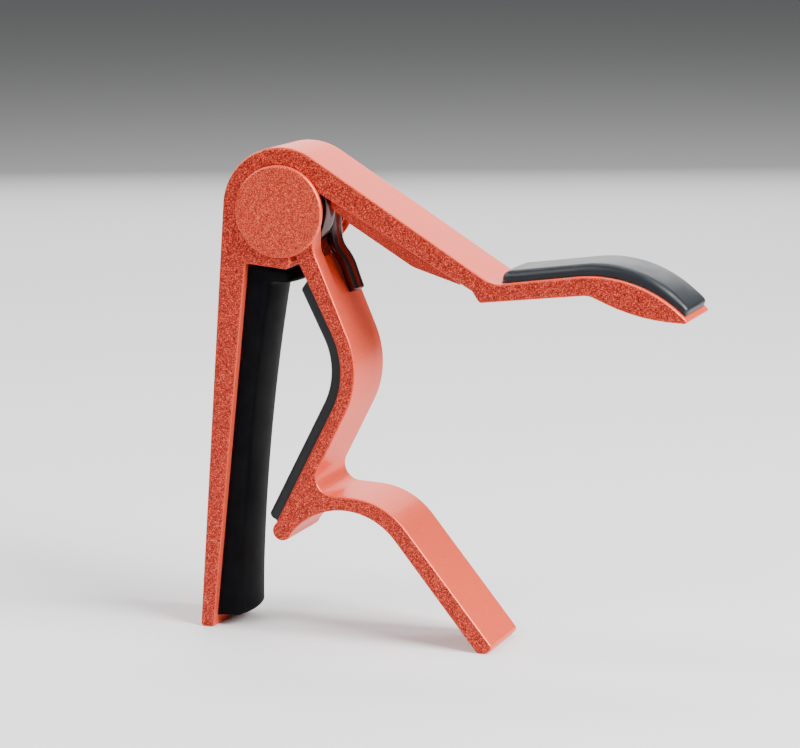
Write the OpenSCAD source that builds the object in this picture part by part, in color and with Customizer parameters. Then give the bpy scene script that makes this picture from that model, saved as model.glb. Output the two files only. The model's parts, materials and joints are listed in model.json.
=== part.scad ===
// Spring-loaded guitar capo: a cast string bar with an upper handle, and a
// cast jaw lever with a lower handle, joined by one pin and a torsion spring.
// X runs from the string bar to the handles, Y along the pivot pin, Z up.
// Outlines are drawn in the X-Z plane, measured from the pivot axis.

/* [Bodies] */
// width of both castings along the pivot axis, mm
body_w = 14; // [12:0.5:18]
// height of the pivot axis above the surface the capo stands on, mm
pivot_h = 73.5; // [70:0.5:80]
// distance from the middle of the footprint to the pivot axis, mm
pivot_back = 27.7; // [25:0.1:30]
// outer radius of the frame's hub, mm
hub_r = 10.7; // [10:0.1:12]
// radius of the round cover discs, mm
disc_r = 7.85; // [7.5:0.05:8.5]
// thickness of the cover discs, mm
disc_t = 1; // [0.6:0.1:2]

/* [Pivot] */
// radius of the pivot pin, mm
pin_r = 2.5; // [2:0.1:3]
// radial play of the lever's ears on the pin, mm
pin_play = 0.06; // [0.02:0.01:0.1]
// radius of the lever's ears, mm
ear_r = 6.4; // [6:0.1:6.6]
// thickness of the frame's outer cheeks, mm
cheek_t = 1.1; // [0.8:0.1:1.5]
// thickness of the thrust washers, mm
washer_t = 0.3; // [0.2:0.05:0.4]

/* [Spring] */
// diameter of the spring wire, mm
wire_d = 2.8; // [2:0.1:3]
// mean radius of the spring's coil, mm
coil_r = 6; // [5.5:0.1:6.2]

/* [Pads] */
// width of the string pad along the pivot axis, mm
string_pad_w = 11; // [9:0.5:13]
// thickness of the jaw pad, mm
jaw_pad_t = 2.05; // [1.5:0.05:3]
// width of the jaw pad and the handle pad, mm
pad_w = 12; // [10:0.5:13.5]
// thickness of the adhesive films under the two glued pads, mm
film_t = 0.15; // [0.1:0.05:0.3]

/* [Hidden] */
$fn = 96;

half_w = body_w / 2;
cheek_in = half_w - cheek_t;
ear_out = cheek_in - washer_t - 0.05;
// the coil's room between the ears, front (low Y) and rear
slot_front = -3.4;
slot_rear = 4.05;
pocket_r = 6.8;
cheek_r = 6.9;
neck_start_r = 7.2;
coil_room_r = 8.1;
slot_floor_r = 9.9;
hub_at = [0.2, 0.15];

coral = [0.86, 0.36, 0.30];
steel = [0.62, 0.63, 0.65];
rubber_black = [0.06, 0.06, 0.07];
silicone_grey = [0.30, 0.34, 0.38];
nylon = [0.90, 0.89, 0.84];
film_clear = [0.80, 0.80, 0.78];

// ---- outline helpers ----

function unit(v) = v / norm(v);
function dir(a) = [cos(a), sin(a)];
function arc(c, r, a0, a1, n) =
  [for (i = [0:n]) c + r * dir(a0 + (a1 - a0) * i / n)];
function turn(a) = a - 360 * floor((a + 180) / 360);

// one corner [x, z, radius] of an outline, replaced by its fillet's points
function corner(p, q, s) =
  q[2] == 0 ? [[q[0], q[1]]] :
  let (b = [q[0], q[1]])
  let (u = unit([p[0], p[1]] - b))
  let (v = unit([s[0], s[1]] - b))
  let (half = acos(u * v) / 2)
  let (c = b + unit(u + v) * q[2] / sin(half))
  let (from = b + u * q[2] / tan(half) - c)
  let (to = b + v * q[2] / tan(half) - c)
  let (a0 = atan2(from[1], from[0]))
  let (sweep = turn(atan2(to[1], to[0]) - a0))
  arc(c, q[2], a0, a0 + sweep, max(2, ceil(abs(sweep) / 4)));

function rounded(pts) = [
  for (i = [0:len(pts) - 1])
    each corner(pts[(i + len(pts) - 1) % len(pts)], pts[i],
                pts[(i + 1) % len(pts)])
];

// the X-Z outline given as children, made solid from y0 to y1
module prism(y0, y1) {
  rotate([90, 0, 0])
    translate([0, 0, -y1])
      linear_extrude(height = y1 - y0)
        children();
}

// a cylinder about the pivot axis from y0 to y1
module drum(r, y0, y1) {
  rotate([90, 0, 0])
    translate([0, 0, -y1])
      cylinder(r = r, h = y1 - y0);
}

module at_pivot() {
  translate([-pivot_back, 0, pivot_h])
    children();
}

// ---- outlines of the castings, from the pivot axis ----

bar_foot_out = [-15.5, -73.5];
bar_foot_in = [-13.1, -73.5];
bar_top_in = [-6.42, -9.2];
ledge_end = [1.75, -9.88];

// upper handle: straight slope, then the humped grip and its tip
slope_root = [5.82, 9.25];
grip_corner_x = 37.8;
hump_c = [55.15, -30.8];
hump_r = 22.5;
hump_start = 98.1;
hump_end = 46.5;

// the straight start of the grip, t millimetres above the metal
function grip_line(x, t) =
  hump_c + (hump_r + t) * dir(hump_start)
  + (x - hump_c[0] - (hump_r + t) * cos(hump_start)) / sin(hump_start)
  * dir(hump_start - 90);

// the hump, t millimetres above the metal, as the first `last` of its steps
hump_steps = 26;
function hump(t, last) = [
  for (i = [0:last])
    hump_c + (hump_r + t) * dir(hump_start + (hump_end - hump_start) * i / hump_steps)
];

// underside of the grip: lip, hollow behind the lip, straight shank
arm_under = rounded([
  [71.3, -15.2, 0], [63.2, -15.2, 33], [54.2, -11.46, 3.2],
  [35.5, -13.72, 0.7], [34.2, -11.8, 0.9], [7.2, 3.27, 0]
]);

module arm_outline() {
  bend = grip_line(grip_corner_x, 0);
  polygon(concat(
    [[0, 0], slope_root],
    corner(slope_root, [bend[0], bend[1], 5], hump(0, 0)[0]),
    hump(0, hump_steps),
    [[70.9, -14.8], [70.75, -15.05], [70.45, -15.2]],
    [for (i = [1:len(arm_under) - 1]) arm_under[i]]
  ));
}

module bar_outline() {
  polygon(rounded([
    [-10.49, 0.5, 0], [bar_foot_out[0], bar_foot_out[1], 0.5],
    [bar_foot_in[0], bar_foot_in[1], 0.3],
    [bar_top_in[0], bar_top_in[1], 0.3],
    [ledge_end[0], ledge_end[1], 0.8], [1.4, -6, 0], [0, 0, 0]
  ]));
}

// what the hub's round outline loses: its underside and the lever's mouth
module mouth_outline() {
  polygon([
    [0, 0], [1.45, -6.2], [1.9, -8.6], [1, -9.81], bar_top_in, [-7.1, -16],
    [16, -16], [16, -1.65], [7.2, 3.27], [4.4, 4.83]
  ]);
}

// stiffening web under the upper handle
module arm_web_outline() {
  polygon(rounded([
    [8.4, 3.2, 0], [8.6, 0.7, 0.6], [12.1, -1.9, 0],
    [23.2, -8.55, 6], [31.5, -11.1, 0], [33, -9, 0]
  ]));
}

// lever: the face that carries the jaw pad, t millimetres proud of the metal
jaw_bend = [-3.75, -27];
jaw_bend_r = 14.5;
jaw_top_a = 26.5;
jaw_low_a = -26.9;

function jaw_face(t, top, low) = concat(
  [jaw_bend + (jaw_bend_r - t) * dir(jaw_top_a) - top * dir(jaw_top_a - 90)],
  arc(jaw_bend, jaw_bend_r - t, jaw_top_a, jaw_low_a, 18),
  [jaw_bend + (jaw_bend_r - t) * dir(jaw_low_a) + low * dir(jaw_low_a - 90)]
);

jaw_tip_at = [-0.1, -55.3];
jaw_tip_r = 1.7;
arch_c = [11.2, -62.85];
arch_r = 12;

// outer side of the lever, from the handle's end up to the ears
lever_outer = rounded([
  [10.61, -43.1, 0], [36, -74.3, 1.7], [38.3, -72.45, 0.8],
  [18.93, -48.75, 13], [4.62, -48.15, 2.9], [15.05, -27.5, 15.6],
  [6.05, -6.45, 3], [6.05, -1.2, 0], [-0.86, -0.43, 0]
]);

module lever_outline() {
  intersection() {
    union() {
      polygon(concat(
        jaw_face(0, 22.6, 23.4),
        arc(arch_c, arch_r, 145.7, 39.1, 26),
        [for (i = [1:len(lever_outer) - 1]) lever_outer[i]]
      ));
      translate(jaw_tip_at)
        circle(r = jaw_tip_r);
    }
    translate([-60, -pivot_h])
      square([120, 100]);
  }
}

// narrow root of the neck, between the ears and the full-width neck
module neck_root_outline() {
  intersection() {
    lever_outline();
    circle(r = neck_start_r + 1);
  }
}

// ---- spring wire ----

wire_r = wire_d / 2;
turns = 1.5;
coil_front = -1.85;
coil_rear = 2.5;
tail_end = -7.6;
leg_run = [
  [6.05, -2.4], [6.08, -4.6], [6.35, -6.1], [7.05, -7.35], [7.95, -8.45],
  [8.6, -9.6], [9.2, -11.2], [9.75, -12.7], [10.2, -13.87]
];

wire_path = concat(
  [[-coil_r, coil_front, tail_end], [-coil_r, coil_front, -4]],
  [for (i = [0:36])
    [
      -coil_r * cos(360 * turns * i / 36),
      coil_front + (coil_rear - coil_front) * i / 36,
      coil_r * sin(360 * turns * i / 36)
    ]],
  [for (p = leg_run) [p[0], coil_rear, p[1]]]
);

function heading(path, i) = unit(
  path[min(i + 1, len(path) - 1)] - path[max(i - 1, 0)]
);

// a ring of `sides` points square to the path at point i
function ring(path, i, r, sides) =
  let (t = heading(path, i))
  let (n = unit(cross(t, [0, 1, 0])))
  let (b = cross(n, t))
  [for (k = [0:sides - 1])
    path[i] + r * (cos(360 * k / sides) * n + sin(360 * k / sides) * b)];

module wire(path, r, sides) {
  last = len(path) - 1;
  polyhedron(
    points = [for (i = [0:last]) each ring(path, i, r, sides)],
    faces = concat(
      [[for (k = [0:sides - 1]) k]],
      [[for (k = [sides - 1:-1:0]) last * sides + k]],
      [for (i = [0:last - 1], k = [0:sides - 1])
        let (a = i * sides + k)
        let (b = i * sides + (k + 1) % sides)
        [b, a, a + sides]],
      [for (i = [0:last - 1], k = [0:sides - 1])
        let (a = i * sides + k)
        let (b = i * sides + (k + 1) % sides)
        [b, a + sides, b + sides]]
    ),
    convexity = 10
  );
}

// ---- pieces ----

rail_half = 2.5;
rail_h = 1.4;
rail_top = -14;
rail_low = -66;

// X of the string bar's inner face at height z
function bar_face(z) =
  bar_top_in[0] + (bar_foot_in[0] - bar_top_in[0])
  * (z - bar_top_in[1]) / (bar_foot_in[1] - bar_top_in[1]);

// the pad rail's outline, grown by play all round
module rail_outline(play) {
  polygon([
    [bar_face(rail_top) - 0.5, rail_top + play],
    [bar_face(rail_top) + rail_h + play, rail_top + play],
    [bar_face(rail_low) + rail_h + play, rail_low - play],
    [bar_face(rail_low) - 0.5, rail_low - play]
  ]);
}

// string bar, hub and upper handle in one casting, with its pad rail
module main_frame() {
  color(coral)
    at_pivot()
      difference() {
        union() {
          difference() {
            union() {
              prism(-half_w, half_w)
                union() {
                  difference() {
                    translate(hub_at)
                      circle(r = hub_r);
                    mouth_outline();
                  }
                  bar_outline();
                  arm_outline();
                }
              prism(-5, 5)
                arm_web_outline();
            }
            drum(pocket_r, -cheek_in, cheek_in);
            drum(coil_room_r, slot_front, slot_rear);
          }
          drum(cheek_r, -half_w, -cheek_in);
          drum(cheek_r, cheek_in, half_w);
          prism(-rail_half, rail_half)
            rail_outline(0);
        }
        drum(pin_r, -half_w - 1, half_w + 1);
        // blind seat for the spring's tail
        translate([-coil_r - wire_r - 0.1, coil_front - wire_r - 0.1, tail_end - 0.15])
          cube([wire_d + 0.2, wire_d + 0.2, 6]);
      }
}

// ears, neck, jaw and lower handle in one casting
module clamp_lever() {
  color(coral)
    at_pivot()
      difference() {
        union() {
          prism(-half_w, half_w)
            difference() {
              lever_outline();
              circle(r = neck_start_r);
            }
          prism(-ear_out, ear_out)
            neck_root_outline();
          drum(ear_r, -ear_out, ear_out);
        }
        drum(slot_floor_r, slot_front, slot_rear);
        drum(pin_r + pin_play, -half_w - 1, half_w + 1);
        // groove that the spring's leg lies in
        translate([7.53, coil_rear - wire_r - 0.1, -9.9])
          rotate([0, -23.1, 0])
            translate([-0.75, 0, -4.9])
              cube([4, wire_d + 0.2, 9]);
        // shallow ramp beside the groove, below the coil's slot
        translate([9.42, slot_front, -14.3])
          rotate([0, -31, 0])
            cube([4, coil_rear - wire_r - slot_front, 9]);
      }
}

module pivot_pin() {
  color(steel)
    at_pivot()
      drum(pin_r, -half_w, half_w);
}

module torsion_spring() {
  color(steel)
    at_pivot()
      wire(wire_path, wire_r, 10);
}

// plastic sleeve that keeps the coil round the pin
module spring_spool() {
  color(nylon)
    at_pivot()
      difference() {
        drum(coil_r - wire_r - 0.3, slot_front + 0.1, slot_rear - 0.1);
        drum(pin_r + 0.05, slot_front - 1, slot_rear + 1);
      }
}

module thrust_washer(y0) {
  color(nylon)
    at_pivot()
      difference() {
        drum(5.4, y0, y0 + washer_t);
        drum(pin_r + 0.05, y0 - 1, y0 + 1);
      }
}

module front_thrust_washer() {
  thrust_washer(-cheek_in);
}

module rear_thrust_washer() {
  thrust_washer(cheek_in - washer_t);
}

// flat cap with a bevelled rim, its outer face at the far side from the body
module cover_disc() {
  bevel = 0.3;
  rotate_extrude()
    polygon([
      [0, 0], [disc_r, 0], [disc_r, disc_t - bevel],
      [disc_r - bevel, disc_t], [0, disc_t]
    ]);
}

module front_cover_disc() {
  color(coral)
    at_pivot()
      translate([0, -half_w, 0])
        rotate([90, 0, 0])
          cover_disc();
}

module rear_cover_disc() {
  color(coral)
    at_pivot()
      translate([0, half_w, 0])
        rotate([-90, 0, 0])
          cover_disc();
}

// contact face: an arc that matches a 320 mm fretboard radius
contact_c = [312.3, -72.9];
contact_r = 320;
pad_top_in = [-6.42, -9.55];
pad_foot_in = [-12.86, -71.6];
flange_top = [1.9, -10.25, 0.9];
flange_low = [1.75, -12.5, 0.9];
flange_root = [-1.95, -12.35, 1];
pad_foot = [-7.62, -71.65, 1.2];

// moulded rubber: bar with a hollow contact face and a flange under the hub
module string_pad() {
  face = arc(contact_c, contact_r, 169.5, 179.4, 14);
  color(rubber_black)
    at_pivot()
      difference() {
        prism(-string_pad_w / 2, string_pad_w / 2)
          polygon(concat(
            [pad_foot_in, pad_top_in],
            corner(pad_top_in, flange_top, flange_low),
            corner(flange_top, flange_low, flange_root),
            corner(flange_low, flange_root, face[0]),
            face,
            corner(face[14], pad_foot, pad_foot_in)
          ));
        prism(-rail_half - 0.05, rail_half + 0.05)
          rail_outline(0.05);
      }
}

function reversed(l) = [for (i = [len(l) - 1:-1:0]) l[i]];

// soft pad along the jaw's face, its outer ends rounded
module jaw_pad() {
  back = jaw_face(film_t, 10.1, 22.8);
  face = jaw_face(film_t + jaw_pad_t, 9.3, 23.2);
  last = len(face) - 1;
  color(rubber_black)
    at_pivot()
      prism(-pad_w / 2, pad_w / 2)
        polygon(concat(
          corner(back[0], [face[0][0], face[0][1], 1], face[1]),
          [for (i = [1:last - 1]) face[i]],
          corner(face[last - 1], [face[last][0], face[last][1], 1.1], back[last]),
          reversed(back)
        ));
}

module jaw_pad_adhesive() {
  color(film_clear)
    at_pivot()
      prism(-pad_w / 2 + 0.5, pad_w / 2 - 0.5)
        polygon(concat(
          jaw_face(0, 9.6, 22.3),
          reversed(jaw_face(film_t, 9.6, 22.3))
        ));
}

// crown of the handle pad, a little tighter than the metal hump
pad_crown_c = [55.6, -26.95];
pad_crown_r = 20.8;
grip_from = 39.65;

function grip_back(t, x, last) = concat([grip_line(x, t)], hump(t, last));

// soft pad on the upper handle, thinning towards the tip
module handle_pad() {
  back = grip_back(film_t, grip_from, hump_steps - 1);
  crown = arc(pad_crown_c, pad_crown_r, 98, 45.5, 22);
  color(silicone_grey)
    at_pivot()
      prism(-pad_w / 2, pad_w / 2)
        polygon(concat(
          corner(back[0], [38.8, -8.31, 1.4], crown[0]),
          crown,
          corner(crown[22], [71.05, -13, 0.8], back[len(back) - 1]),
          reversed(back)
        ));
}

module handle_pad_adhesive() {
  color(film_clear)
    at_pivot()
      prism(-pad_w / 2 + 0.5, pad_w / 2 - 0.5)
        polygon(concat(
          grip_back(0, grip_from + 0.5, hump_steps - 2),
          reversed(grip_back(film_t, grip_from + 0.5, hump_steps - 2))
        ));
}

main_frame();
clamp_lever();
pivot_pin();
torsion_spring();
spring_spool();
front_thrust_washer();
rear_thrust_washer();
front_cover_disc();
rear_cover_disc();
string_pad();
jaw_pad();
jaw_pad_adhesive();
handle_pad();
handle_pad_adhesive();
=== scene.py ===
import json
import math

import bmesh
import bpy
import numpy as np
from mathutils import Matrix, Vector
from mathutils.geometry import tessellate_polygon


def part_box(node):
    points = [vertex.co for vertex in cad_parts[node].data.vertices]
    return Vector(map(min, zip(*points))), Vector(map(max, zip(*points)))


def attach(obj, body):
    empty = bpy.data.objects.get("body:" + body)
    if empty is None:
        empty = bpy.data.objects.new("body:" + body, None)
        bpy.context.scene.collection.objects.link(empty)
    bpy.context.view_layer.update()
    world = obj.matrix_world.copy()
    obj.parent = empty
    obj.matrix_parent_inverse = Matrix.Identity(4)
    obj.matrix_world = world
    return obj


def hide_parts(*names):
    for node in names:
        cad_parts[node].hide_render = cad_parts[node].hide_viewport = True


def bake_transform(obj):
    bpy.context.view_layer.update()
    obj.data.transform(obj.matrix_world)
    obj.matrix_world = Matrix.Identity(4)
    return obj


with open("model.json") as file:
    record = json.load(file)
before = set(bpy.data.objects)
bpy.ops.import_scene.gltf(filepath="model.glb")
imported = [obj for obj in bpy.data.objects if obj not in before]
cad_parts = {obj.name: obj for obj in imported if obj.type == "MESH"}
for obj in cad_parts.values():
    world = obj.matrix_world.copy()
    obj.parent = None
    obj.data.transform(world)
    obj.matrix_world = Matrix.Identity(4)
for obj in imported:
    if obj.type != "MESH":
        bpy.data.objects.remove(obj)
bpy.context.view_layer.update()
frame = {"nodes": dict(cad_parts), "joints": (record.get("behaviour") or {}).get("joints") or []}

MM = 0.001
PIVOT = Vector(frame["joints"][0]["pos_m"])


# ---------------------------------------------------------------- outlines
# Outlines are lists of [x, z] in millimetres from the pivot axis.

def heading(angle):
    """The unit [x, z] vector at that angle in degrees from +X towards +Z."""
    return np.array([math.cos(math.radians(angle)), math.sin(math.radians(angle))])


def arc(centre, radius, a0, a1, steps):
    """Points along an arc, both ends included."""
    return [np.array(centre) + radius * heading(a0 + (a1 - a0) * i / steps)
            for i in range(steps + 1)]


def corner(before, point, radius, after, steps=8):
    """The fillet of that radius that replaces a corner."""
    b = np.array(point, float)
    u = np.array(before, float) - b
    v = np.array(after, float) - b
    u /= np.linalg.norm(u)
    v /= np.linalg.norm(v)
    half = math.acos(float(u @ v)) / 2
    bisector = (u + v) / np.linalg.norm(u + v)
    centre = b + bisector * radius / math.sin(half)
    start = b + u * radius / math.tan(half) - centre
    end = b + v * radius / math.tan(half) - centre
    a0 = math.degrees(math.atan2(start[1], start[0]))
    sweep = math.degrees(math.atan2(end[1], end[0])) - a0
    sweep = (sweep + 180) % 360 - 180
    return arc(centre, radius, a0, a0 + sweep, steps)


def resample(points, step):
    """Extra points along the long straight stretches of an open run."""
    out = []
    for a, b in zip(points[:-1], points[1:]):
        n = max(1, int(np.linalg.norm(np.array(b) - np.array(a)) / step))
        out += [np.array(a) + (np.array(b) - np.array(a)) * i / n for i in range(n)]
    return out + [np.array(points[-1])]


def new_object(name, mesh):
    """An object of that mesh, linked to the scene."""
    obj = bpy.data.objects.new(name, mesh)
    bpy.context.scene.collection.objects.link(obj)
    return obj


def smooth(mesh, angle=35):
    """Smooth shading, with the edges sharper than that angle kept sharp."""
    bm = bmesh.new()
    bm.from_mesh(mesh)
    bmesh.ops.recalc_face_normals(bm, faces=bm.faces)
    for face in bm.faces:
        face.smooth = True
    for edge in bm.edges:
        edge.smooth = not (len(edge.link_faces) == 2
                           and edge.calc_face_angle(0) > math.radians(angle))
    bm.to_mesh(mesh)
    bm.free()


EDGE_STEPS, FLAT_STEPS = 7, 12    # sections along a pad's rounded edge and between


def moulded(name, outline, weights, half_width, edge_r, crown, lean=None):
    """A moulded pad: the outline swept along Y. At both sides each point is pulled
    in by its weight times the rounded edge. The crown draws the sides back by the
    weights too, or along lean, a list of [dx, dz] directions."""
    pts = np.array(outline, float)
    w = np.array(weights, float)
    ahead, behind = np.roll(pts, -1, 0), np.roll(pts, 1, 0)
    tangent = ahead - behind
    tangent /= np.linalg.norm(tangent, axis=1)[:, None]
    area = 0.5 * np.sum(pts[:, 0] * ahead[:, 1] - ahead[:, 0] * pts[:, 1])
    inward = np.stack([-tangent[:, 1], tangent[:, 0]], 1) * (1 if area > 0 else -1)
    back = inward * w[:, None] if lean is None else np.array(lean, float)
    flat = half_width - edge_r
    near = [-half_width + edge_r * (1 - math.cos(math.radians(90 * i / EDGE_STEPS)))
            for i in range(EDGE_STEPS + 1)]
    between = [-flat + 2 * flat * i / FLAT_STEPS for i in range(1, FLAT_STEPS)]
    ys = near + between + [-y for y in reversed(near)]
    verts, faces = [], []
    for y in ys:
        over = max(0.0, abs(y) - flat)
        inset = edge_r - math.sqrt(max(0.0, edge_r ** 2 - over ** 2))
        ring = (pts + inward * (w * inset)[:, None]
                + back * crown * (y / half_width) ** 2)
        verts += [(PIVOT.x + x * MM, PIVOT.y + y * MM, PIVOT.z + z * MM)
                  for x, z in ring]
    n = len(pts)
    for j in range(len(ys) - 1):
        for i in range(n):
            k = (i + 1) % n
            faces.append((j * n + i, j * n + k, (j + 1) * n + k, (j + 1) * n + i))
    faces.append(tuple(range(n)))
    faces.append(tuple(range((len(ys) - 1) * n, len(ys) * n))[::-1])
    mesh = bpy.data.meshes.new(name)
    mesh.from_pydata(verts, [], faces)
    smooth(mesh)
    return new_object(name, mesh)


# --------------------------------------------------------------- materials

def node_material(name):
    """A new material, its tree, its shader and the object's own coordinates."""
    mat = bpy.data.materials.new(name)
    mat.use_nodes = True
    tree = mat.node_tree
    shader = tree.nodes["Principled BSDF"]
    coords = tree.nodes.new("ShaderNodeTexCoord")
    return mat, tree, shader, coords.outputs["Object"]


# Each helper adds one node to the tree, links its inputs and gives its output.

def noise(tree, vector, scale, detail=2.0, roughness=0.5):
    node = tree.nodes.new("ShaderNodeTexNoise")
    node.inputs["Scale"].default_value = scale
    node.inputs["Detail"].default_value = detail
    node.inputs["Roughness"].default_value = roughness
    tree.links.new(vector, node.inputs["Vector"])
    return node.outputs["Fac"]


def ramp(tree, value, stops):
    node = tree.nodes.new("ShaderNodeValToRGB")
    elements = node.color_ramp.elements
    while len(elements) < len(stops):
        elements.new(0.5)
    for element, (place, colour) in zip(elements, stops):
        element.position = place
        element.color = (*colour, 1)
    tree.links.new(value, node.inputs["Fac"])
    return node.outputs["Color"]


def span(tree, value, low, high):
    node = tree.nodes.new("ShaderNodeMapRange")
    node.inputs["To Min"].default_value = low
    node.inputs["To Max"].default_value = high
    tree.links.new(value, node.inputs["Value"])
    return node.outputs["Result"]


def mix_colour(tree, mode, factor, a, b):
    node = tree.nodes.new("ShaderNodeMix")
    node.data_type = "RGBA"
    node.blend_type = mode
    node.inputs["Factor"].default_value = factor
    for socket, value in ((node.inputs[6], a), (node.inputs[7], b)):
        if isinstance(value, tuple):
            socket.default_value = (*value, 1)
        else:
            tree.links.new(value, socket)
    return node.outputs[2]


def bump(tree, height, strength, distance, normal=None):
    node = tree.nodes.new("ShaderNodeBump")
    node.inputs["Strength"].default_value = strength
    node.inputs["Distance"].default_value = distance
    tree.links.new(height, node.inputs["Height"])
    if normal is not None:
        tree.links.new(normal, node.inputs["Normal"])
    return node.outputs["Normal"]


def flake_paint(name, dark, middle, light, edge, grain=5200):
    """Metallic-flake paint: a grainy tone with flakes that tilt their own way.
    The grain is plain on the flat sides and faint on the edge faces. The edge faces take the
    lighter plain edge colour, a painted highlight for the light on the top and side faces,
    against the darker flat sides."""
    mat, tree, shader, place = node_material(name)
    link = tree.links.new
    tone = ramp(tree, noise(tree, place, grain, 3, 0.65),
                [(0.38, dark), (0.48, middle), (0.54, middle), (0.65, light)])
    cloud = ramp(tree, noise(tree, place, 1500, 3, 0.6),
                 [(0.35, (0.78, 0.78, 0.78)), (0.62, (1.0, 1.0, 1.0))])
    grainy = mix_colour(tree, "MULTIPLY", 1, tone, cloud)

    # Painted highlight: faces not turned to front or back blend towards the lighter edge colour,
    # which stands in for the light falling on the top and side faces.
    facing = tree.nodes.new("ShaderNodeSeparateXYZ")
    link(tree.nodes["Texture Coordinate"].outputs["Normal"], facing.inputs[0])
    side = tree.nodes.new("ShaderNodeMath")
    side.operation = "ABSOLUTE"
    link(facing.outputs["Y"], side.inputs[0])
    flat = tree.nodes.new("ShaderNodeMapRange")
    flat.inputs["From Min"].default_value = 0.45
    flat.inputs["From Max"].default_value = 0.9
    flat.inputs["To Min"].default_value = 0.22
    flat.inputs["To Max"].default_value = 1.0
    link(side.outputs[0], flat.inputs["Value"])
    share = flat.outputs["Result"]
    painted_highlight_blend = tree.nodes.new("ShaderNodeMix")
    painted_highlight_blend.data_type = "RGBA"
    link(share, painted_highlight_blend.inputs["Factor"])
    painted_highlight_blend.inputs[6].default_value = (*edge, 1)
    link(grainy, painted_highlight_blend.inputs[7])
    link(painted_highlight_blend.outputs[2], shader.inputs["Base Color"])

    flakes = tree.nodes.new("ShaderNodeTexNoise")
    flakes.inputs["Scale"].default_value = grain * 0.8
    flakes.inputs["Detail"].default_value = 2
    link(place, flakes.inputs["Vector"])
    split = tree.nodes.new("ShaderNodeSeparateColor")
    link(flakes.outputs["Color"], split.inputs["Color"])
    link(span(tree, split.outputs["Green"], 0.15, 0.85), shader.inputs["Metallic"])
    link(span(tree, split.outputs["Blue"], 0.32, 0.56), shader.inputs["Roughness"])
    centred = tree.nodes.new("ShaderNodeVectorMath")
    centred.operation = "SUBTRACT"
    link(flakes.outputs["Color"], centred.inputs[0])
    centred.inputs[1].default_value = (0.5, 0.5, 0.5)
    tilt = tree.nodes.new("ShaderNodeVectorMath")
    tilt.operation = "SCALE"
    link(centred.outputs["Vector"], tilt.inputs[0])
    link(span(tree, share, 0.0, 0.55), tilt.inputs["Scale"])
    add = tree.nodes.new("ShaderNodeVectorMath")
    link(tree.nodes.new("ShaderNodeNewGeometry").outputs["Normal"], add.inputs[0])
    link(tilt.outputs["Vector"], add.inputs[1])
    unit = tree.nodes.new("ShaderNodeVectorMath")
    unit.operation = "NORMALIZE"
    link(add.outputs["Vector"], unit.inputs[0])
    link(bump(tree, noise(tree, place, 1400, 2), 0.2, 0.00003, unit.outputs["Vector"]),
         shader.inputs["Normal"])
    shader.inputs["Specular IOR Level"].default_value = 0.3
    shader.inputs["Specular Tint"].default_value = (1.0, 0.62, 0.54, 1)
    shader.inputs["Coat Weight"].default_value = 0.12
    shader.inputs["Coat Roughness"].default_value = 0.13
    return mat


def rubber(name, colour, roughness, gloss):
    """Moulded rubber: a fine matt grain over a faint, larger mottle."""
    mat, tree, shader, place = node_material(name)
    low = tuple(c * 0.8 for c in colour)
    high = tuple(c * 1.25 for c in colour)
    tree.links.new(ramp(tree, noise(tree, place, 420, 4), [(0.3, low), (0.7, high)]),
                   shader.inputs["Base Color"])
    tree.links.new(span(tree, noise(tree, place, 260, 5), roughness - 0.07,
                        roughness + 0.08), shader.inputs["Roughness"])
    tree.links.new(bump(tree, noise(tree, place, 2600, 3), 0.12, 0.00004),
                   shader.inputs["Normal"])
    shader.inputs["Specular IOR Level"].default_value = gloss
    return mat


def metal(name, colour, low, high, grain=900):
    """Bare metal whose roughness wanders between two values."""
    mat, tree, shader, place = node_material(name)
    shade = tuple(c * 0.9 for c in colour)
    tone = ramp(tree, noise(tree, place, grain, 4), [(0.35, shade), (0.65, colour)])
    tree.links.new(tone, shader.inputs["Base Color"])
    shader.inputs["Metallic"].default_value = 1
    tree.links.new(span(tree, noise(tree, place, grain / 2, 4), low, high),
                   shader.inputs["Roughness"])
    return mat


def plastic(name, colour, roughness):
    """Plain moulded plastic, faintly clouded."""
    mat, tree, shader, place = node_material(name)
    shade = tuple(c * 0.92 for c in colour)
    tone = ramp(tree, noise(tree, place, 300, 3), [(0.3, shade), (0.7, colour)])
    tree.links.new(tone, shader.inputs["Base Color"])
    tree.links.new(bump(tree, noise(tree, place, 1500, 3), 0.15, 0.00003),
                   shader.inputs["Normal"])
    shader.inputs["Roughness"].default_value = roughness
    return mat


# The last colour of each paint is the lighter coral of the edge faces, a painted highlight for
# the lit top and side faces.
CORAL = flake_paint("coral_flake_paint", (0.10, 0.005, 0.003), (0.42, 0.025, 0.012),
                    (0.85, 0.145, 0.080), (0.84, 0.100, 0.048))
CORAL_DISC = flake_paint("coral_flake_disc", (0.19, 0.012, 0.006),
                         (0.54, 0.045, 0.021), (0.88, 0.19, 0.10),
                         (0.84, 0.100, 0.048), grain=5600)
STRING_RUBBER = rubber("string_rubber", (0.0030, 0.0030, 0.0036), 0.5, gloss=0.02)
JAW_RUBBER = rubber("jaw_rubber", (0.006, 0.007, 0.009), 0.5, gloss=0.25)
HANDLE_SILICONE = rubber("handle_silicone", (0.0045, 0.0068, 0.0095), 0.42, gloss=0.36)
# The dark, faintly red wire colour is partly the wire's own dark finish, partly painted shade on
# the coil and a painted red reflection of the casting around it.
SPRING_WIRE = metal("dark_spring_wire", (0.11, 0.075, 0.075), 0.12, 0.24)
PIN_STEEL = metal("ground_pin_steel", (0.55, 0.55, 0.57), 0.25, 0.4)
NYLON = plastic("natural_nylon", (0.82, 0.80, 0.74), 0.45)
FILM = plastic("adhesive_film_clear", (0.55, 0.55, 0.52), 0.3)


def paint(obj, mat):
    """One material all over."""
    obj.data.materials.clear()
    obj.data.materials.append(mat)
    for polygon in obj.data.polygons:
        polygon.material_index = 0


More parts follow.
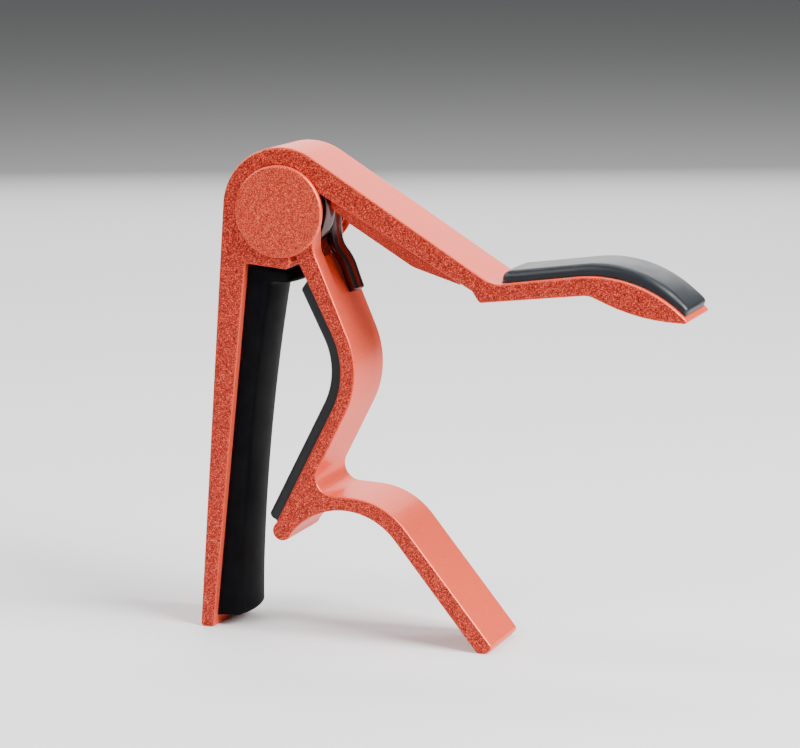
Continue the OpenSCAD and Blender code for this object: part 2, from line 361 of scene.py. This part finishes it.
def repaint(node, mat):
    """A CAD node that shows as it is gets its material."""
    for slot in frame["nodes"][node].material_slots:
        slot.link = "OBJECT"
        slot.material = mat


# ---------------------------------------------------------------- castings

CAST_EDGE_R = 0.42
HUB_HOLE_R = 9.0    # rings that stay within this of the pivot keep a plain edge


def rim_rings(faces):
    """The closed rings of vertices around a patch of faces."""
    inside = set(faces)
    beside = {}
    for edge in (e for face in faces for e in face.edges):
        if sum(other in inside for other in edge.link_faces) == 1:
            a, b = edge.verts
            beside.setdefault(a, []).append(b)
            beside.setdefault(b, []).append(a)
    rings = []
    while beside:
        ring = [next(iter(beside))]
        while ring[-1] in beside:
            ahead = [v for v in beside.pop(ring[-1]) if v in beside]
            if ahead:
                ring.append(ahead[0])
        rings.append(ring)
    return rings


def rim_radii(pts, width):
    """Mitred inward directions along an anticlockwise ring, and the edge radius
    at each point: the full one, but smaller where the outline turns tightly."""
    ahead = np.roll(pts, -1, 0) - pts
    step = np.linalg.norm(ahead, axis=1)
    normal = np.stack([-ahead[:, 1], ahead[:, 0]], 1) / step[:, None]
    before = np.roll(normal, 1, 0)
    share = np.maximum(1 + (normal * before).sum(1), 0.4)
    inward = (normal + before) / share[:, None]
    radii = np.full(len(pts), width)
    for _ in range(80):
        moved = pts + inward * radii[:, None]
        short = ((np.roll(moved, -1, 0) - moved) * ahead).sum(1) < 0.3 * step ** 2
        if not short.any():
            break
        radii[short | np.roll(short, 1)] *= 0.88
    for _ in range(len(pts)):
        radii = np.minimum(radii, np.roll(radii, 1) + 0.25 * np.roll(step, 1))
        radii = np.minimum(radii, np.roll(radii, -1) + 0.25 * step)
    return inward, radii


def round_side(bm, y, width, steps=4):
    """The outer rim of a flat side gets its edge radius, and the side is refilled."""
    cap = [f for f in bm.faces if all(abs(v.co.y - y) < 1e-6 for v in f.verts)]
    rings = rim_rings(cap)
    bmesh.ops.delete(bm, geom=cap, context="FACES_KEEP_BOUNDARY")
    side = math.copysign(1, y)
    filled = []
    for ring in rings:
        pts = np.array([(v.co.x, v.co.z) for v in ring])
        if max((v.co - PIVOT).xz.length for v in ring) > HUB_HOLE_R * MM:
            ahead = np.roll(pts, -1, 0)
            if np.sum(pts[:, 0] * ahead[:, 1] - ahead[:, 0] * pts[:, 1]) < 0:
                ring, pts = ring[::-1], pts[::-1]
            inward, radii = rim_radii(pts, width)
            for v, r in zip(ring, radii):
                v.co.y -= side * r
            for k in range(1, steps + 1):
                a = math.radians(90 * k / steps)
                at = pts + inward * (radii * (1 - math.cos(a)))[:, None]
                depth = radii * (1 - math.sin(a))
                inner = [bm.verts.new((x, y - side * d, z))
                         for (x, z), d in zip(at, depth)]
                for i in range(len(ring)):
                    bm.faces.new((ring[i - 1], ring[i], inner[i], inner[i - 1]))
                ring = inner
        filled.append(ring)
    corners = [v for ring in filled for v in ring]
    for tri in tessellate_polygon([[(v.co.x, v.co.z, 0) for v in ring]
                                   for ring in filled]):
        bm.faces.new([corners[i] for i in tri])


def casting(node, body):
    """The CAD solid again, with the small edge radii that a casting has."""
    source = frame["nodes"][node]
    bm = bmesh.new()
    bm.from_mesh(source.data)
    bmesh.ops.remove_doubles(bm, verts=bm.verts, dist=2e-6)
    half = max(v.co.y for v in bm.verts)
    for y in (half, -half):
        round_side(bm, y, CAST_EDGE_R * MM)
    mesh = bpy.data.meshes.new(node + "_cast")
    bm.to_mesh(mesh)
    bm.free()
    smooth(mesh)
    obj = new_object(node + "_cast", mesh)
    paint(obj, CORAL)
    even = obj.modifiers.new("flat sides", "WEIGHTED_NORMAL")
    even.keep_sharp = True
    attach(obj, body)
    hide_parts(node)


casting("main_frame", "frame")
casting("clamp_lever", "lever")


# -------------------------------------------------------------- cover discs

def cover_disc(name, node, side):
    """A stamped cap: flat face, small edge radius, faint dishing."""
    low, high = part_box(node)
    radius = (high.x - low.x) / 2
    thick = high.y - low.y
    edge, gap, step = 0.42 * MM, 0.16 * MM, 0.35 * MM
    chamfer, dish = 0.08 * MM, 0.05 * MM
    profile = [(0.0, thick - dish)]
    profile += [(radius * k / 8, thick - dish * (1 - (k / 8) ** 2))
                for k in range(1, 8)]
    profile += [(radius - edge + edge * math.sin(math.radians(a)),
                 thick - edge + edge * math.cos(math.radians(a)))
                for a in range(0, 91, 15)]
    profile += [(radius, gap + 0.05 * MM), (radius - chamfer, gap),
                (radius - step, gap), (radius - step, 0.0)]
    around = 128
    bm = bmesh.new()
    base = low.y if side > 0 else high.y
    centre = bm.verts.new((PIVOT.x, base + side * profile[0][1], PIVOT.z))
    rings = []
    for r, h in profile[1:]:
        rings.append([bm.verts.new((PIVOT.x + r * math.cos(2 * math.pi * k / around),
                                    base + side * h,
                                    PIVOT.z + r * math.sin(2 * math.pi * k / around)))
                      for k in range(around)])
    for k in range(around):
        m = (k + 1) % around
        bm.faces.new((centre, rings[0][k], rings[0][m]))
        for a, b in zip(rings[:-1], rings[1:]):
            bm.faces.new((a[k], b[k], b[m], a[m]))
    bm.faces.new(rings[-1])
    mesh = bpy.data.meshes.new(name)
    bm.to_mesh(mesh)
    bm.free()
    smooth(mesh, 50)
    obj = new_object(name, mesh)
    paint(obj, CORAL_DISC)
    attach(obj, "frame")
    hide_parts(node)


cover_disc("front_cap", "front_cover_disc", -1)
cover_disc("rear_cap", "rear_cover_disc", 1)


# -------------------------------------------------------------------- pads

def fit_pad(pad, node, body, mat):
    """A pad takes its colour, its body and the place of its CAD solid."""
    paint(pad, mat)
    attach(pad, body)
    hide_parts(node)


# The string pad: a long arc that bears on the strings, under a lip at the top.
CONTACT_C, CONTACT_R = (312.3, -72.9), 320.0
BAR_TOP, BAR_FOOT = (-6.42, -9.55), (-12.86, -71.6)
LIP_TOP, LIP_LOW, LIP_ROOT = (1.9, -10.25), (1.75, -12.5), (-1.95, -12.35)
PAD_CROWN, CROWN_REACH = 0.9, 4.5
face_run = arc(CONTACT_C, CONTACT_R, 169.5, 179.4, 60)
flange = corner(BAR_TOP, LIP_TOP, 0.9, LIP_LOW)
flange += corner(LIP_TOP, LIP_LOW, 0.9, LIP_ROOT)
root = corner(LIP_LOW, LIP_ROOT, 1.0, face_run[0])
foot = corner(face_run[-1], (-7.62, -71.65), 1.2, BAR_FOOT)
back = resample([BAR_FOOT, BAR_TOP], 2.5)
top = resample([BAR_TOP, tuple(flange[0])], 1.2)[1:-1]
outline = flange + root + face_run + foot + back + top
weights = ([0.6] * len(flange) + list(np.linspace(0.6, 1, len(root)))
           + [1.0] * len(face_run) + list(np.linspace(1, 0.5, len(foot)))
           + [0.0] * len(back) + list(np.linspace(0.0, 0.6, len(top))))
BAR_SLOPE = 0.1036    # of the bar's inner face, X per Z
lean = [(-min(1.0, max(0.0, (x - BAR_TOP[0] - BAR_SLOPE * (z - BAR_TOP[1]))
                       / CROWN_REACH)), 0.0)
        for x, z in outline]
string_pad = moulded("string_pad_moulding", outline, weights,
                     half_width=5.5, edge_r=1.0, crown=PAD_CROWN, lean=lean)
fit_pad(string_pad, "string_pad", "frame", STRING_RUBBER)


# The jaw pad: a bent strip in the bow of the jaw.
BEND, BEND_R, TOP_A, LOW_A = np.array([-3.75, -27.0]), 14.5, 26.5, -26.9


def jaw_run(t, top_len, low_len):
    """A line at depth t in front of the jaw: straight, round the bend, straight."""
    bend = arc(BEND, BEND_R - t, TOP_A, LOW_A, 40)
    return ([bend[0] - top_len * heading(TOP_A - 90)] + bend
            + [bend[-1] + low_len * heading(LOW_A - 90)])


FILM_T = 0.15
jaw_back = jaw_run(FILM_T, 10.1, 22.8)
jaw_face = jaw_run(2.2, 9.3, 23.2)
jaw_top = corner(jaw_back[0], jaw_face[0], 1.0, jaw_face[1])
jaw_low = corner(jaw_face[-2], jaw_face[-1], 1.1, jaw_back[-1])
jaw_front = resample(jaw_top[-1:] + jaw_face[1:-1] + jaw_low[:1], 1.2)
jaw_top, jaw_low = jaw_top[:-1], jaw_low[1:]
jaw_rear = resample(jaw_back[::-1], 1.5)
outline = jaw_top + jaw_front + jaw_low + jaw_rear
weights = ([0.7] * len(jaw_top) + [1.0] * len(jaw_front) + [0.7] * len(jaw_low)
           + [0.0] * len(jaw_rear))
jaw_pad = moulded("jaw_pad_moulding", outline, weights,
                  half_width=6.0, edge_r=0.7, crown=0.15)
fit_pad(jaw_pad, "jaw_pad", "lever", JAW_RUBBER)


# The handle pad: a domed pad over the hump of the upper handle.
HUMP_C, HUMP_R, HUMP_START = np.array([55.15, -30.8]), 22.5, 98.1
GRIP_START_X, GRIP_END_A = 38.95, 47.6
hump = arc(HUMP_C, HUMP_R + FILM_T, HUMP_START, GRIP_END_A, 30)
along = heading(HUMP_START - 90)
grip_rear = [hump[0] + along * (GRIP_START_X - hump[0][0]) / along[0]] + hump
dome = arc((55.6, -26.95), 20.8, 98, 45.5, 44)
grip_left = corner(grip_rear[0], (38.75, -8.31), 1.6, dome[0])
grip_right = corner(dome[-1], (71.05, -13), 0.8, grip_rear[-1])
grip_top = resample([grip_left[-1]] + dome + [grip_right[0]], 1.0)[1:-1]
outline = grip_left + grip_top + grip_right + resample(grip_rear[::-1], 1.2)
FADE = 6    # points over which the edge radius shrinks towards the thin end
weights = ([0.85] * len(grip_left) + [1.0] * (len(grip_top) - FADE)
           + list(np.linspace(1, 0.5, FADE)) + [0.5] * len(grip_right))
weights += [0.0] * (len(outline) - len(weights))
handle_pad = moulded("handle_pad_moulding", outline, weights,
                     half_width=6.0, edge_r=1.2, crown=0.15)
fit_pad(handle_pad, "handle_pad", "frame", HANDLE_SILICONE)


# ------------------------------------------------------------------ spring

WIRE_R, COIL_R = 1.4, 6.0
COIL_FRONT, COIL_REAR = -1.85, 2.5
COIL_SWEEP, COIL_STEPS = 540, 90
coil = [(-COIL_R * math.cos(math.radians(COIL_SWEEP * i / COIL_STEPS)),
         COIL_FRONT + (COIL_REAR - COIL_FRONT) * i / COIL_STEPS,
         COIL_R * math.sin(math.radians(COIL_SWEEP * i / COIL_STEPS)))
        for i in range(COIL_STEPS + 1)]
leg = [(6.05, -2.4), (6.08, -4.6), (6.35, -6.1), (7.05, -7.35), (7.95, -8.45),
       (8.6, -9.6), (9.2, -11.2), (9.75, -12.7), (10.2, -13.87)]
knots = ([(-COIL_R, COIL_FRONT, -7.6), (-COIL_R, COIL_FRONT, -4)] + coil
         + [(x, COIL_REAR, z) for x, z in leg])


def rounded_path(points, passes=2):
    """Chaikin's corner cutting, the two ends kept."""
    pts = [Vector(p) for p in points]
    for _ in range(passes):
        out = [pts[0]]
        for a, b in zip(pts[:-1], pts[1:]):
            out += [a.lerp(b, 0.25), a.lerp(b, 0.75)]
        pts = out + [pts[-1]]
    return pts


def swept_wire(name, points, radius, sides=20):
    """A round wire along the path, its cut ends slightly rounded."""
    path = rounded_path(points)
    verts, faces = [], []
    last = len(path) - 1
    for i, p in enumerate(path):
        t = (path[min(i + 1, last)] - path[max(i - 1, 0)]).normalized()
        n = t.cross(Vector((0, 1, 0))).normalized()
        b = n.cross(t)
        verts.append([p + radius * (n * math.cos(2 * math.pi * k / sides)
                                    + b * math.sin(2 * math.pi * k / sides))
                      for k in range(sides)])
    ends = []
    for ring, p, q in ((verts[0], path[0], path[1]), (verts[-1], path[-1], path[-2])):
        out = (p - q).normalized()
        ends.append([[p + (v - p) * s + out * radius * h for v in ring]
                     for s, h in ((0.97, 0.09), (0.88, 0.17), (0.72, 0.22))])
    rings = ends[0][::-1] + verts + ends[1]
    flat = [PIVOT + v * MM for ring in rings for v in ring]
    for j in range(len(rings) - 1):
        for k in range(sides):
            m = (k + 1) % sides
            faces.append((j * sides + k, j * sides + m, (j + 1) * sides + m,
                          (j + 1) * sides + k))
    faces.append(tuple(range(sides)))
    faces.append(tuple(range((len(rings) - 1) * sides, len(rings) * sides))[::-1])
    mesh = bpy.data.meshes.new(name)
    mesh.from_pydata([tuple(v) for v in flat], [], faces)
    smooth(mesh, 60)
    return new_object(name, mesh)


spring = swept_wire("spring_wire_coil", knots, WIRE_R)
paint(spring, SPRING_WIRE)
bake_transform(spring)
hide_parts("torsion_spring")


# ------------------------------------------------- remaining CAD nodes

for node, mat in (("pivot_pin", PIN_STEEL), ("spring_spool", NYLON),
                  ("front_thrust_washer", NYLON), ("rear_thrust_washer", NYLON),
                  ("jaw_pad_adhesive", FILM), ("handle_pad_adhesive", FILM)):
    repaint(node, mat)


# ---------------------------------------------------------- studio, camera
# Places and sizes of the lights are in metres, their power is in watts.

def area_light(name, place, aim, size, power):
    """A soft box that faces its aim and isn't seen itself."""
    data = bpy.data.lights.new(name, "AREA")
    data.shape = "RECTANGLE"
    data.size, data.size_y = size
    data.energy = power
    obj = bpy.data.objects.new(name, data)
    obj.location = place
    obj.rotation_euler = (Vector(aim) - Vector(place)).to_track_quat("-Z", "Y").to_euler()
    obj.visible_camera = False
    bpy.context.scene.collection.objects.link(obj)


middle = (0.0, 0.0, 0.045)
area_light("key_right", (0.50, -0.09, 0.44), middle, (0.40, 0.40), 18.0)
area_light("fill_left", (-0.23, -0.30, 0.32), (-0.03, 0.0, 0.07), (0.26, 0.26), 1.5)
area_light("rim_left", (-0.45, -0.02, 0.36), middle, (0.12, 0.30), 2.2)
area_light("back_top", (-0.05, 0.22, 0.55), middle, (0.40, 0.12), 1.6)
area_light("back_low", (-0.26, 0.58, 0.26), middle, (0.70, 0.34), 3.0)

world = bpy.data.worlds.new("studio")
world.use_nodes = True
background = world.node_tree.nodes["Background"]
background.inputs["Color"].default_value = (0.92, 0.93, 0.95, 1)
background.inputs["Strength"].default_value = 0.16
bpy.context.scene.world = world

floor_mesh = bpy.data.meshes.new("floor")
FLOOR = 4.0
floor_mesh.from_pydata([(-FLOOR, -FLOOR, 0), (FLOOR, -FLOOR, 0), (FLOOR, FLOOR, 0),
                        (-FLOOR, FLOOR, 0)], [], [(0, 1, 2, 3)])
floor = new_object("floor", floor_mesh)
floor_mat, _, floor_shader, _ = node_material("pale_floor")
floor_shader.inputs["Base Color"].default_value = (0.60, 0.60, 0.60, 1)
floor_shader.inputs["Roughness"].default_value = 0.7
paint(floor, floor_mat)

camera_data = bpy.data.cameras.new("camera")
camera_data.sensor_width = 36
camera_data.lens = 131.2
camera_data.clip_start = 0.01
camera_data.clip_end = 20
camera = bpy.data.objects.new("camera", camera_data)
camera.location = PIVOT + Vector((189.0, -457.0, 61.7)) * MM
camera.rotation_euler = (math.radians(79.6), 0, math.radians(20.4))
bpy.context.scene.collection.objects.link(camera)
bpy.context.scene.camera = camera
